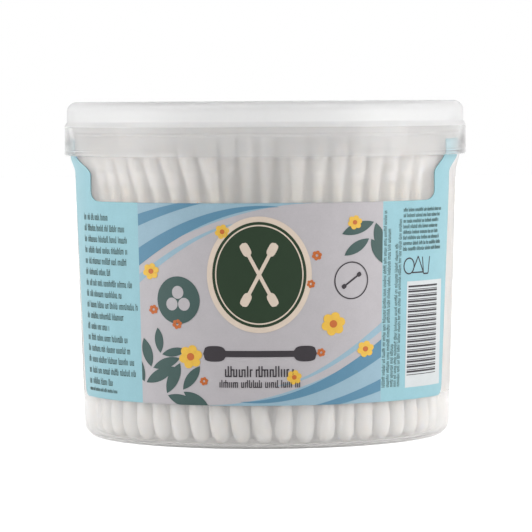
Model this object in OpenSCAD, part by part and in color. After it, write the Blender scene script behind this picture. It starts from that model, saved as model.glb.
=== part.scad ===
// Round snap-lid tub of cotton buds: a thin moulded tub with an in-mould label,
// its lift-off lid, and the buds that stand in it.
// Origin at the middle of the base, +Z up, the label faces -Y. Millimetres.

/* [Tub] */
// Outer radius of the wall just above the base corner
wall_base_r = 46.5; // [42:0.5:52]
// How much the wall widens from the base corner to the shoulder
wall_draft = 1.9; // [1.4:0.1:3]
// Thickness of the wall
wall_t = 0.9; // [0.7:0.1:1.4]
// Thickness of the floor
floor_t = 1.2; // [0.8:0.1:2]
// Radius of the corner between the base and the wall
base_corner_r = 3; // [2.4:0.2:4]
// How far the middle of the base is raised inside the foot ring
foot_rise = 0.6; // [0.3:0.1:0.8]
// Width of the foot ring
foot_w = 2.6; // [1.5:0.1:5]
// How far the shoulder steps out from the wall
shoulder_out = 1; // [0.6:0.1:1.6]
// Height of the shoulder
shoulder_h = 3.8; // [2.5:0.1:6]
// Height of the straight rim above the shoulder
rim_h = 8.8; // [8.4:0.1:10]
// Height of the rim above the ends of the buds
rim_over_buds = 0.9; // [0.5:0.1:4]
// How far the snap bead stands out of the rim
bead_out = 0.2; // [0.1:0.05:0.25]

/* [Lid] */
// Radial gap between the rim and the skirt of the lid
lid_fit = 0.6; // [0.55:0.05:0.9]
// Thickness of the skirt
skirt_t = 1; // [0.8:0.1:1.4]
// How far the skirt hangs below the rim's top
skirt_drop = 7.5; // [6.5:0.1:8.2]
// Height of the lid above the rim's top
lid_head = 6; // [5.8:0.1:10]
// Thickness of the lid's top
lid_top_t = 1.2; // [0.8:0.1:1.3]
// How far the upper band is set in from the skirt
band_in = 0.6; // [0.3:0.1:0.8]
// Thickness of the upper band, which sits on the rim
band_t = 1.5; // [1.4:0.1:1.9]
// Radius of the lid's top edge
lid_edge_r = 2.5; // [1.6:0.1:3.5]

/* [Buds] */
// Length of a bud
bud_l = 75.5; // [70:0.5:85]
// Diameter of the stick
stick_d = 2.3; // [1.9:0.1:2.6]
// Largest diameter of a cotton tip
tip_d = 4.36; // [3.9:0.02:4.4]
// Length of a cotton tip
tip_l = 12; // [10:0.5:15]
// Distance of a tip's fattest place from its end
tip_belly = 4; // [3.5:0.1:5]
// Height of the fattest place, which is straight
belly_h = 3.6; // [2.5:0.1:5]
// Diameter of the cotton where it ends on the stick
tip_neck_d = 2.9; // [2.8:0.05:3.2]
// Length of stick inside each tip
stick_in_tip = 9; // [5:0.5:9.5]
// Pitch of the buds along the rings
bud_pitch = 4.62; // [4.62:0.02:5]
// Pitch of the buds along the ring at the wall
wall_pitch = 5.15; // [5:0.05:5.6]
// Distance between two rings of buds
ring_step = 4.47; // [4.47:0.01:4.8]
// Turn of the buds' upper ends against the lower ends, in degrees
bud_twist = 6; // [0:0.5:8]
// Opening of the fan at the wall, in degrees
fan_gap = 22; // [0:1:24]

/* [Label] */
// Thickness of the label film
film_t = 0.2; // [0.15:0.05:0.3]
// Thickness of one layer of print
ink_t = 0.1; // [0.08:0.01:0.12]
// Height of the label's lower edge
label_z = 10.8; // [8:0.2:14]
// Height of the window's lower edge
window_z = 59.9; // [56:0.1:62]
// Half angle that the label covers, in degrees
label_half_a = 70.5; // [69.5:0.1:73]
// Half angle of the white front panel, in degrees
panel_half_a = 38.3; // [36:0.1:40]
// Width of the film beside the foot of the window, as an angle
window_side_a = 8.5; // [7:0.5:12]
// Width of the ears on the rim, as an angle
ear_a = 11; // [9:0.5:13]
// How far the ears lean outwards over the shoulder, as an angle
ear_lean_a = 7.5; // [0:0.5:9]
// Radius of the window's lower corners
window_corner_r = 2.3; // [1:0.1:3]
// How far the ears end below the rim's top
ear_drop = 3.7; // [3.2:0.1:5]
// Corner radius of the label
label_corner_r = 2.5; // [1:0.1:3]

/* [Print] */
// Half width of the middle medallion
medal_half_w = 11.4; // [9:0.2:12]
// Half height of the middle medallion
medal_half_h = 12.8; // [10:0.2:13.6]
// Height of the medallion's middle
medal_z = 42.6; // [40:0.1:44]
// Width of the medallion's cream border
medal_border = 1.3; // [0.8:0.1:2]
// Radius of the green seal
seal_r = 5.8; // [4:0.1:6.2]
// Angle of the seal from the middle of the label
seal_a = -24.7; // [-27:0.1:-24]
// Height of the seal's middle
seal_z = 36.3; // [33:0.1:38]
// Radius of the ring badge
badge_r = 4.6; // [3.5:0.1:5]
// Angle of the ring badge from the middle of the label
badge_a = 27.7; // [26:0.1:29]
// Height of the ring badge's middle
badge_z = 40.9; // [38:0.1:43]
// Width of the ring badge's line
badge_line = 0.7; // [0.4:0.1:1]
// Height of the drawn bud under the medallion
title_z = 23.4; // [21:0.1:24]
// Length of the drawn bud
title_l = 27.6; // [20:0.2:30]
// Thickness of the drawn bud's tips
title_w = 3.8; // [2:0.1:4.4]
// Angle of the middle of the bar code from the middle of the label
code_a = 56.2; // [55:0.1:57.5]
// Width of the bar code's white field
code_w = 15.4; // [12:0.2:17]
// Height of the bar code's white field
code_h = 26.2; // [20:0.2:30]
// Height of the white field's lower edge
code_z = 13.8; // [12:0.1:15]
// Number of bars
code_bars = 24; // [12:1:30]
// Radius of a flower
flower_r = 3.1; // [2.4:0.1:3.4]
// Length of a leaf
leaf_l = 8.2; // [4:0.1:9]

/* [Hidden] */
$fn = 64;

// Clearances
bud_wall_gap = 0.3;
bud_floor_gap = 0.3;
stick_bore_gap = 0.04;

// Tub heights and radii
floor_top = foot_rise + floor_t;
tub_h = floor_top + bud_floor_gap + bud_l + rim_over_buds;
rim_z = tub_h - rim_h;
shoulder_z = rim_z - shoulder_h;
wall_top_r = wall_base_r + wall_draft;
rim_r = wall_top_r + shoulder_out;
bead_drop = 2.2;
bead_z = tub_h - bead_drop;
bead_h = 1.4;
foot_r = wall_base_r - base_corner_r;
foot_slope = 0.6;
// Length of the first straight piece above a base corner
above_corner = 0.5;

// Lid heights and radii
lid_z = tub_h - skirt_drop;
lid_h = tub_h + lid_head;
skirt_r = rim_r + lid_fit + skirt_t;
band_r = skirt_r - band_in;
step_h = 1.2;
step_below_seat = 0.2;
lid_bead_in = 0.15;
lid_bead_rise = 1.2;
lid_bead_z = lid_z + lid_bead_rise;
lid_bead_h = 1.4;
lid_edge_t = 1;
lid_inner_edge_r = lid_edge_r - lid_edge_t;

// Buds
belly_z = floor_top + bud_floor_gap + tip_belly;
belly_span = bud_l - 2 * tip_belly;
low_ring_r = tub_r(belly_z) - wall_t - tip_d / 2 - bud_wall_gap;
high_ring_r = rim_r - wall_t - tip_d / 2 - bud_wall_gap;
ring_least_r = 2.6;
ring_count = floor((low_ring_r - ring_least_r) / ring_step) + 1;
bud_groups = 5;
tip_end_share = 0.26;
fan_front = -86;
fan_turn = 137.5;
inner_fan = 14;

// How far a rounded corner's circle laps over the edges, so that they cross and aren't tangent
corner_lap = 0.05;

// How far a tool that cuts the label reaches past it
cut_over = 1;
throw_past = 10;
throw = wall_top_r + throw_past;
// Step of a wedge's outline, and its corners' distance, so that its flat sides clear the wall
wedge_step_a = 30;
wedge_r = 1.3 * throw;

// Half width and height of the front panel, as the print on it is laid out
panel_half_w = (tub_r(medal_z) + film_t) * sin(panel_half_a);
panel_h = window_z - label_z;

// Flowers: place across in half panel widths, place up in panel heights, and size in flower radii
FLOWERS = [
    [-0.57, 0.24, 1], [0.6, 0.4, 1], [-0.3, 0.86, 0.62], [0.28, 0.14, 0.62],
    [0.86, 0.27, 0.7], [-0.9, 0.66, 0.7], [0.78, 0.9, 0.6]
];
// Small blossoms, given in the same way
BLOSSOMS = [
    [-0.68, 0.4, 0.42], [0.42, 0.6, 0.36], [-0.46, 0.12, 0.36],
    [0.5, 0.26, 0.36], [0.47, 0.74, 0.42], [-0.88, 0.47, 0.4]
];
petals = 6;
petal_place = 0.58;
petal_size = 0.36;
heart_size = 0.3;

// Leaf sprigs: place of the stem's foot in the same shares, direction, pairs of leaves, bend a pair
SPRIGS = [[-0.98, 0.06, 72, 3, -9], [-0.84, 0.03, 24, 2, -12], [0.98, 0.94, -118, 2, 14]];
leaf_spread = 42;
leaf_spacing = 0.5;
leaf_shrink = 0.12;
leaf_round = 0.82;
leaf_stem_gap = 0.4;

// Gaps that keep prints of one layer apart
print_gap = 0.3;
// Corners that the medallion's oval is drawn with
oval_points = 64;
// Shares of a drawn bud: its tips' length of its own, its stick's thickness of its tips'
drawn_tip_share = 0.2;
drawn_stick_share = 0.42;
crossed_a = 28;
crossed_share = 1.35;
crossed_w = 2.2;
badge_bud_a = 35;
badge_bud_w = 1.1;
bolls = 3;
boll_place = 0.33;
boll_size = 0.27;
// White margin round the bars, and the bars' thicknesses as shares of their pitch
code_margin = 1.2;
bar_least = 0.3;
bar_growth = 0.12;

// Share of the way up a smooth S curve, for u from 0 to 1
function ease(u) = u * u * (3 - 2 * u);

// Outer radius of the tub at height z, above the base corner
function tub_r(z) =
    z < shoulder_z ? wall_base_r + wall_draft * (z - base_corner_r) / (shoulder_z - base_corner_r)
    : z < rim_z ? wall_top_r + shoulder_out * ease((z - shoulder_z) / shoulder_h)
    : rim_r;

// Points of an arc about c with radius r from angle a0 to a1
function arc(c, r, a0, a1, n = 6) =
    [for (i = [0 : n]) let (a = a0 + (a1 - a0) * i / n) [c[0] + r * cos(a), c[1] + r * sin(a)]];

// Points up the outside of the tub from z0 to z1, moved out by t
function wall_line(z0, z1, t, n = 8) = concat(
    [[tub_r(z0) + t, z0]],
    z1 > shoulder_z
        ? [for (i = [0 : n]) let (z = shoulder_z + shoulder_h * i / n) if (z < z1) [tub_r(z) + t, z]]
        : [],
    [[tub_r(z1) + t, z1]]
);

function reversed(points) = [for (i = [len(points) - 1 : -1 : 0]) points[i]];

module tub() {
    corner_in_r = base_corner_r - wall_t;
    outside = concat(
        [[0, foot_rise], [foot_r - foot_w - foot_slope, foot_rise], [foot_r - foot_w, 0]],
        arc([foot_r, base_corner_r], base_corner_r, -90, 0),
        wall_line(base_corner_r + above_corner, tub_h, 0)
    );
    inside = concat(
        reversed(wall_line(floor_top + corner_in_r + above_corner, tub_h, -wall_t)),
        reversed(arc([foot_r, floor_top + corner_in_r], corner_in_r, -90, 0)),
        [[0, floor_top]]
    );
    color("whitesmoke", 0.4) rotate_extrude() {
        polygon(concat(outside, inside));
        // Snap bead round the rim
        polygon([
            [rim_r - wall_t / 2, bead_z - bead_h / 2],
            [rim_r, bead_z - bead_h / 2],
            [rim_r + bead_out, bead_z - bead_h / 6],
            [rim_r + bead_out, bead_z + bead_h / 6],
            [rim_r, bead_z + bead_h / 2],
            [rim_r - wall_t / 2, bead_z + bead_h / 2]
        ]);
    }
}

module lid() {
    skirt_in_r = skirt_r - skirt_t;
    band_in_r = band_r - band_t;
    under_z = lid_h - lid_top_t;
    outside = concat(
        [[skirt_in_r, lid_z], [skirt_r, lid_z], [skirt_r, tub_h - step_below_seat]],
        [[band_r, tub_h - step_below_seat + step_h]],
        arc([band_r - lid_edge_r, lid_h - lid_edge_r], lid_edge_r, 0, 90),
        [[0, lid_h], [0, under_z]]
    );
    inside = concat(
        reversed(arc([band_in_r - lid_inner_edge_r, under_z - lid_inner_edge_r], lid_inner_edge_r, 0, 90)),
        [[band_in_r, tub_h], [skirt_in_r, tub_h]],
        [
            [skirt_in_r, lid_bead_z + lid_bead_h / 2],
            [skirt_in_r - lid_bead_in, lid_bead_z + lid_bead_h / 6],
            [skirt_in_r - lid_bead_in, lid_bead_z - lid_bead_h / 6],
            [skirt_in_r, lid_bead_z - lid_bead_h / 2]
        ]
    );
    color("white", 0.5) rotate_extrude() polygon(concat(outside, inside));
}

// A wedge about the axis between the angles a0 and a1, measured from the label's middle
module wedge(a0, a1, z0, z1) {
    steps = ceil((a1 - a0) / wedge_step_a);
    translate([0, 0, z0]) linear_extrude(z1 - z0) polygon(concat(
        [[0, 0]],
        [for (i = [0 : steps]) let (a = a0 + (a1 - a0) * i / steps) wedge_r * [sin(a), -cos(a)]]
    ));
}

// A flat shape thrown onto the wall from the angle a off the label's middle
module thrown(a = 0) {
    rotate([0, 0, a]) rotate([90, 0, 0]) linear_extrude(throw) children();
}

// One layer of print round the straight wall, the given number of layers above the film
module ink(level, z0 = label_z, z1 = window_z) {
    inner = film_t + level * ink_t;
    rotate_extrude() polygon(concat(wall_line(z0, z1, inner), reversed(wall_line(z0, z1, inner + ink_t))));
}

// Cuts a square corner of the label to a round one; sx and sz point out of the corner
module corner_cut(a, z, sx, sz) {
    thrown(a) translate([0, z]) scale([sx, sz]) difference() {
        translate([-label_corner_r, -label_corner_r]) square(label_corner_r + cut_over);
        translate([corner_lap - label_corner_r, corner_lap - label_corner_r]) circle(label_corner_r);
    }
}

// The clear window as seen from the front, which widens over the shoulder
module window_outline() {
    foot_w = tub_r(window_z) * sin(label_half_a - window_side_a);
    rim_w = rim_r * sin(label_half_a + ear_lean_a - ear_a);
    right = concat(
        arc([foot_w - window_corner_r, window_z + window_corner_r], window_corner_r, -90, 0, 4),
        [[foot_w, shoulder_z], [rim_w, rim_z], [rim_w, tub_h]]
    );
    polygon(concat(right, [for (p = reversed(right)) [-p[0], p[1]]]));
}

// The label as seen from the front: straight sides up to the window, and ears that lean outwards
module label_outline() {
    low_w = tub_r(label_z - cut_over) * sin(label_half_a);
    high_w = tub_r(shoulder_z) * sin(label_half_a);
    ear_w = (rim_r + film_t) * sin(label_half_a + ear_lean_a);
    right = [[low_w, label_z - cut_over], [high_w, shoulder_z], [ear_w, rim_z], [ear_w, tub_h]];
    polygon(concat(right, [for (p = reversed(right)) [-p[0], p[1]]]));
}

module label_film() {
    ear_top = tub_h - ear_drop;
    color("lightblue") difference() {
        intersection() {
            rotate_extrude() polygon(concat(
                wall_line(label_z, ear_top, 0),
                reversed(wall_line(label_z, ear_top, film_t))
            ));
            thrown() label_outline();
        }
        thrown() window_outline();
        for (s = [-1, 1]) {
            corner_cut(s * label_half_a, label_z, s, -1);
            corner_cut(s * (label_half_a + ear_lean_a), ear_top, s, 1);
        }
    }
}

module panel_part(level) {
    intersection() {
        ink(level);
        wedge(-panel_half_a, panel_half_a, label_z - cut_over, window_z + cut_over);
    }
}

// A flat shape thrown onto the front panel
module on_panel(level) {
    intersection() {
        panel_part(level);
        thrown() children();
    }
}

// A flat shape round its own middle, thrown onto the label from the angle a at height z
module on_label(level, a, z) {
    intersection() {
        ink(level);
        thrown(a) translate([0, z]) children();
    }
}

module label_front_panel() {
    color("white") panel_part(0);
}

// Point of the front panel at u half widths across and v heights up
function at(u, v) = [u * panel_half_w, label_z + v * panel_h];

// A band under a rising curve between two heights, whose width grows from w0 to w1. Places and
// widths are shares of the panel.
module sweep_band(u0, u1, v0, v1, bend, w0, w1) {
    steps = 12;
    shares = [for (i = [0 : steps]) i / steps];
    top = [for (s = shares) at(u0 + (u1 - u0) * s, v0 + (v1 - v0) * pow(s, bend))];
    low = [for (i = [0 : steps]) top[i] - [0, panel_h * (w0 + (w1 - w0) * shares[i])]];
    polygon(concat(top, reversed(low)));
}

// Both corners' waves; the upper one is the lower one turned half way round the panel's middle.
// They end short of the medallion.
module both_corners() {
    difference() {
        union() {
            children();
            translate(2 * at(0, 0.5)) rotate(180) children();
        }
        medallion_outline(medal_border + print_gap);
    }
}

// The medallion's oval, with half a step of turn so that no corner lies on its axes
module medallion_outline(more) {
    polygon([
        for (i = [0 : oval_points - 1]) let (a = 360 * (i + 0.5) / oval_points)
            [(medal_half_w + more) * cos(a), medal_z + (medal_half_h + more) * sin(a)]
    ]);
}

module print_light_waves() {
    color("skyblue") on_panel(1) both_corners() {
        sweep_band(-0.42, 1.15, 0.02, 0.33, 1.8, 0.24, 0.28);
        sweep_band(0.14, 1.15, 0.1, 0.48, 1.5, 0.01, 0.05);
    }
}

module print_dark_waves() {
    color("steelblue") on_panel(2) both_corners() {
        sweep_band(-0.16, 1.15, 0.02, 0.39, 1.9, 0.01, 0.1);
        sweep_band(0.22, 1.15, -0.02, 0.16, 1.6, 0.01, 0.07);
    }
}

// A leaf from its foot along +X, pointed at both ends
module leaf(l) {
    r = l * leaf_round;
    lift = sqrt(r * r - l * l / 4);
    intersection() {
        translate([l / 2, lift]) circle(r);
        translate([l / 2, -lift]) circle(r);
    }
}

// A stem of paired leaves that get shorter towards its end
module sprig(foot, a, pairs, bend) {
    for (i = [0 : pairs - 1]) {
        on = a + bend * i / 2;
        place = foot + leaf_l * leaf_spacing * (i + 0.5) * [cos(on), sin(on)];
        for (s = [-1, 1])
            translate(place) rotate(a + bend * i + s * leaf_spread)
                translate([leaf_stem_gap, 0]) leaf(leaf_l * (1 - leaf_shrink * i));
    }
}

module print_leaves() {
    color("darkslategray") on_panel(1) for (s = SPRIGS) sprig(at(s[0], s[1]), s[2], s[3], s[4]);
}

// The petals of a flower with radius r
module blossom(r) {
    for (i = [0 : petals - 1])
        rotate(360 * (i + 0.25) / petals) translate([r * petal_place, 0]) circle(r * petal_size);
}

module print_flower_petals() {
    color("gold") on_panel(3) for (f = FLOWERS) translate(at(f[0], f[1])) blossom(flower_r * f[2]);
}

module print_flower_hearts() {
    color("chocolate") {
        on_panel(4) for (f = FLOWERS) translate(at(f[0], f[1])) circle(flower_r * f[2] * heart_size);
        on_panel(3) for (f = BLOSSOMS) translate(at(f[0], f[1])) blossom(flower_r * f[2]);
    }
}

module print_medallion_border() {
    color("linen") on_panel(1) medallion_outline(medal_border);
}

module print_medallion() {
    color("darkgreen") on_panel(2) medallion_outline(0);
}

// A drawn bud along +X about its middle
module drawn_bud(l, w) {
    end_l = l * drawn_tip_share;
    square([l - end_l, w * drawn_stick_share], center = true);
    for (s = [-1, 1]) translate([s * (l - end_l) / 2, 0]) {
        square([end_l - w, w], center = true);
        for (t = [-1, 1]) translate([t * (end_l - w) / 2, 0]) circle(w / 2);
    }
}

module print_medallion_bud() {
    color("linen") on_panel(3) translate([0, medal_z])
        for (s = [-1, 1]) rotate(90 + crossed_a * s) drawn_bud(medal_half_h * crossed_share, crossed_w);
}

module print_seal() {
    color("darkslategray") on_label(1, seal_a, seal_z) circle(seal_r);
}

module print_seal_boll() {
    color("white") on_label(2, seal_a, seal_z) for (i = [0 : bolls - 1])
        rotate(90 + 360 * i / bolls) translate([seal_r * boll_place, 0]) circle(seal_r * boll_size);
}

module print_ring_badge() {
    color("dimgray") on_label(1, badge_a, badge_z) {
        difference() {
            circle(badge_r);
            circle(badge_r - badge_line);
        }
        rotate(badge_bud_a) drawn_bud(badge_r * crossed_share, badge_bud_w);
    }
}

module print_title_bud() {
    color("black") on_panel(1) translate([0, title_z]) drawn_bud(title_l, title_w);
}

module print_code_field() {
    color("white") on_label(0, code_a, code_z) translate([-code_w / 2, 0]) square([code_w, code_h]);
}

module print_code_bars() {
    pitch = (code_h - 2 * code_margin) / code_bars;
    color("black") on_label(1, code_a, code_z + code_margin) for (i = [0 : code_bars - 1])
        translate([code_margin - code_w / 2, pitch * i])
            square([code_w - 2 * code_margin, pitch * (bar_least + bar_growth * ((i * i + 2 * i) % 4))]);
}

// Half of a tip's outline from its end at 0 to the neck
function tip_line() = [
    [0, 0],
    [tip_d * tip_end_share, 0],
    [tip_d / 2, tip_belly - belly_h / 2],
    [tip_d / 2, tip_belly + belly_h / 2],
    [tip_neck_d / 2, tip_l]
];

// One cotton tip with the blind hole that the stick runs into
module tip() {
    hole_r = stick_d / 2 + stick_bore_gap;
    hole_end = tip_l - stick_in_tip - stick_bore_gap;
    rotate_extrude() polygon(concat(tip_line(), [[hole_r, tip_l], [hole_r, hole_end], [0, hole_end]]));
}

module stick() {
    bare_end = tip_l - stick_in_tip;
    translate([0, 0, bare_end]) cylinder(d = stick_d, h = bud_l - 2 * bare_end);
}

// Number of buds in ring i, counted from the wall
function ring_buds(i) =
    floor(180 / asin((i == 0 ? wall_pitch : bud_pitch) / 2 / (low_ring_r - i * ring_step)));

// Places the children as bud k of ring i. The lower ends stand evenly round the ring. The upper
// ends stand on a wider ring, turned, and opened like a fan at one place.
module bud_place(i, k) {
    n = ring_buds(i);
    r0 = low_ring_r - i * ring_step;
    r1 = r0 * high_ring_r / low_ring_r;
    front = fan_front + fan_turn * i;
    open = i == 0 ? fan_gap : inner_fan;
    twist = bud_twist * cos(fan_turn * i);
    share = (k + 0.5) / n - 0.5;
    a0 = front + 180 + 360 * share;
    a1 = front + 180 + (360 - open) * share - twist;
    foot = r0 * [cos(a0), sin(a0)];
    head = r1 * [cos(a1), sin(a1)];
    lean = head - foot;
    translate([foot[0], foot[1], belly_z])
        rotate([0, asin(norm(lean) / belly_span), atan2(lean[1], lean[0])])
            translate([0, 0, -tip_belly]) children();
}

// First ring of group g, counted from 1; the groups share the rings out evenly
function group_start(g) = ceil((g - 1) * ring_count / bud_groups);

module bud_sticks(g) {
    color("ivory")
        for (i = [group_start(g) : group_start(g + 1) - 1], k = [0 : ring_buds(i) - 1])
            bud_place(i, k) stick();
}

module bud_tips(g) {
    color("snow")
        for (i = [group_start(g) : group_start(g + 1) - 1], k = [0 : ring_buds(i) - 1], far = [0, 1])
            bud_place(i, k) translate([0, 0, far * bud_l]) mirror([0, 0, far]) tip();
}

tub();
lid();
label_film();
label_front_panel();
print_light_waves();
print_dark_waves();
print_leaves();
print_flower_petals();
print_flower_hearts();
print_medallion_border();
print_medallion();
print_medallion_bud();
print_seal();
print_seal_boll();
print_ring_badge();
print_title_bud();
print_code_field();
print_code_bars();
for (g = [1 : bud_groups]) {
    bud_sticks(g);
    bud_tips(g);
}
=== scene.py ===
import math

import bpy
import numpy as np
from bpy.props import FloatProperty, FloatVectorProperty, IntProperty, PointerProperty
from bpy.types import Operator, Panel, PropertyGroup
from mathutils import Matrix, Vector


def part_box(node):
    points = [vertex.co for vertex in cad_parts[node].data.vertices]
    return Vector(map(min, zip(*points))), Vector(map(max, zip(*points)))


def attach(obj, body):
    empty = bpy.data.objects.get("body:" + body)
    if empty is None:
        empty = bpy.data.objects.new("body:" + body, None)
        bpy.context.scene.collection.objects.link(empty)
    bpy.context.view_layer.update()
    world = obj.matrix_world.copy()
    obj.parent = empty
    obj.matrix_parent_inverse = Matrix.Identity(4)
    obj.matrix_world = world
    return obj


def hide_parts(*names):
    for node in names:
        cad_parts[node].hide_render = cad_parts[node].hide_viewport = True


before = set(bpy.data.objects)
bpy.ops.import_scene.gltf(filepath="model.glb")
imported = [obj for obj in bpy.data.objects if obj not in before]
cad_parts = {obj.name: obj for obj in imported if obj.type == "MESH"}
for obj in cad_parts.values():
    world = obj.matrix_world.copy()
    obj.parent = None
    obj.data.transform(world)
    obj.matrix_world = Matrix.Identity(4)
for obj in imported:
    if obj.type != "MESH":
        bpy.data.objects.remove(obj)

bl_info = {
    "name": "Cotton bud tub",
    "version": (1, 0, 0),
    "blender": (4, 5, 0),
    "location": "3D View > Sidebar > Bud Tub",
    "description": "A round snap-lid tub of cotton buds with a printed label, fitted to its packed model",
    "category": "Object",
}

MM = 0.001
TUB_BODY = "tub_body"
LID_BODY = "lid_body"
BUD_GROUPS = 5
TUB_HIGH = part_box("tub")[1]
LID_LOW, LID_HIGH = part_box("lid")

# Places on the front panel: shares of its half width across and of its height up, and a size
FLOWERS = (
    (-0.57, 0.24, 1), (0.6, 0.4, 1), (-0.3, 0.86, 0.62), (0.28, 0.14, 0.62),
    (0.86, 0.27, 0.7), (-0.9, 0.66, 0.7), (0.78, 0.9, 0.6),
)
BLOSSOMS = (
    (-0.68, 0.4, 0.42), (0.42, 0.6, 0.36), (-0.46, 0.12, 0.36),
    (0.5, 0.26, 0.36), (0.47, 0.74, 0.42), (-0.88, 0.47, 0.4),
)
# Foot of the stem in the same shares, its direction, pairs of leaves, and its bend a pair in degrees
SPRIGS = ((-0.98, 0.06, 72, 3, -9), (-0.84, 0.03, 24, 2, -12), (0.98, 0.94, -118, 2, 14))
# Each wave from u0 to u1 across and v0 to v1 up, the power of its rise, and its width at both ends
LIGHT_WAVES = ((-0.42, 1.15, 0.002, 0.33, 1.8, 0.24, 0.28), (0.14, 1.15, 0.1, 0.48, 1.5, 0.002, 0.05))
DARK_WAVES = ((-0.16, 1.15, 0.02, 0.39, 1.9, 0.002, 0.1), (0.22, 1.15, -0.02, 0.16, 1.6, 0.002, 0.07))
# The colour that each slot of the label is printed in
INKS = {
    "label_blue": "side", "label_white": "panel", "ink_light_blue": "light_wave", "ink_mid_blue": "dark_wave",
    "ink_teal": "teal", "ink_yellow": "petal", "ink_orange": "heart", "ink_cream": "cream",
    "ink_green": "green", "ink_black": "ink",
}


def from_screen(red, green, blue):
    """A colour as it is read off a screen, 0 to 255 a channel, turned into linear light."""
    share = np.array([red, green, blue]) / 255.0
    return tuple(float(v) for v in np.where(share > 0.04045, ((share + 0.055) / 1.055) ** 2.4, share / 12.92))


def length(name, description, millimetres):
    """A length property that is written in millimetres and kept in metres."""
    metres = millimetres * MM
    return FloatProperty(name=name, description=description, default=metres, unit="LENGTH", precision=5)


def turn(name, description, degrees):
    """An angle property that is written in degrees and kept in radians."""
    return FloatProperty(name=name, description=description, default=math.radians(degrees), subtype="ANGLE")


def power(name, description, watts):
    """The power of a lamp in watts."""
    return FloatProperty(name=name, description=description, default=watts, subtype="POWER")


def tint(name, description, red, green, blue):
    """A colour property that is written as it looks on a screen."""
    return FloatVectorProperty(
        name=name,
        description=description,
        default=from_screen(red, green, blue),
        subtype="COLOR",
        min=0,
        max=1,
    )


class TubSizes(PropertyGroup):
    base_radius: length("Wall radius", "Outer radius of the wall just above the base corner", 46.5)
    draft: length("Draft", "How much the wall widens up to the shoulder", 1.9)
    wall: length("Wall", "Thickness of the wall", 0.9)
    floor: length("Floor", "Thickness of the floor", 0.8)
    corner: length("Base corner", "Radius of the corner between base and wall", 3.0)
    foot_rise: length("Foot rise", "How far the base is raised inside the foot ring", 0.2)
    foot_width: length("Foot ring", "Width of the foot ring", 2.6)
    shoulder_out: length("Shoulder step", "How far the shoulder steps out", 1.0)
    shoulder_height: length("Shoulder height", "Height of the shoulder", 4.8)
    rim_height: length("Rim height", "Height of the straight rim above the shoulder", 7.2)
    bead_out: length("Bead", "How far the snap bead stands out of the rim", 0.2)
    witness_angle: turn("Moulding line", "Angle of the fine moulding line from the label's middle", -14.2)
    witness_out: length("Moulding line height", "How far the moulding line stands out", 0.14)


class LidSizes(PropertyGroup):
    skirt: length("Skirt", "Thickness of the skirt", 1.0)
    top: length("Top", "Thickness of the lid's top", 1.2)
    band_in: length("Band step", "How far the upper band is set in from the skirt", 0.6)
    band: length("Band", "Thickness of the upper band", 1.5)
    edge: length("Top edge", "Radius of the lid's top edge", 2.5)
    step: length("Step height", "Height of the sloping step between skirt and band", 1.2)


class BudSizes(PropertyGroup):
    long: length("Length", "Length of a bud", 75.5)
    stick: length("Stick", "Diameter of the stick", 2.3)
    tip: length("Tip", "Largest diameter of a cotton tip", 4.5)
    fit: length("Laid-out tip", "Tip diameter that the rings are laid out with", 4.36)
    tip_long: length("Tip length", "Length of a cotton tip", 12.0)
    belly: length("Belly", "Distance of a tip's fattest place from its end", 4.0)
    neck: length("Neck", "Diameter of the cotton where it ends on the stick", 2.9)
    pitch: length("Pitch", "Pitch of the buds along the rings", 4.62)
    wall_pitch: length("Pitch at the wall", "Pitch of the buds along the ring at the wall", 5.15)
    ring_step: length("Ring step", "Distance between two rings of buds", 4.47)
    gap: length("Gap", "Gap to the wall", 0.3)
    floor_gap: length("Floor gap", "Gap to the floor", 0.05)
    twist: turn("Twist", "Turn of the upper ends against the lower ends", 6.0)
    fan: turn("Fan", "Opening of the fan at the wall", 22.0)
    inner_fan: turn("Inner fan", "Opening of the fan in the inner rings", 14.0)
    fan_front: turn("Fan place", "Angle at which the wall ring opens", -86.0)
    fan_turn: turn("Fan turn", "Turn of each ring's opening against the last", 137.5)
    seed: IntProperty(name="Seed", description="Seed of the small differences between buds", default=11)


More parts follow.
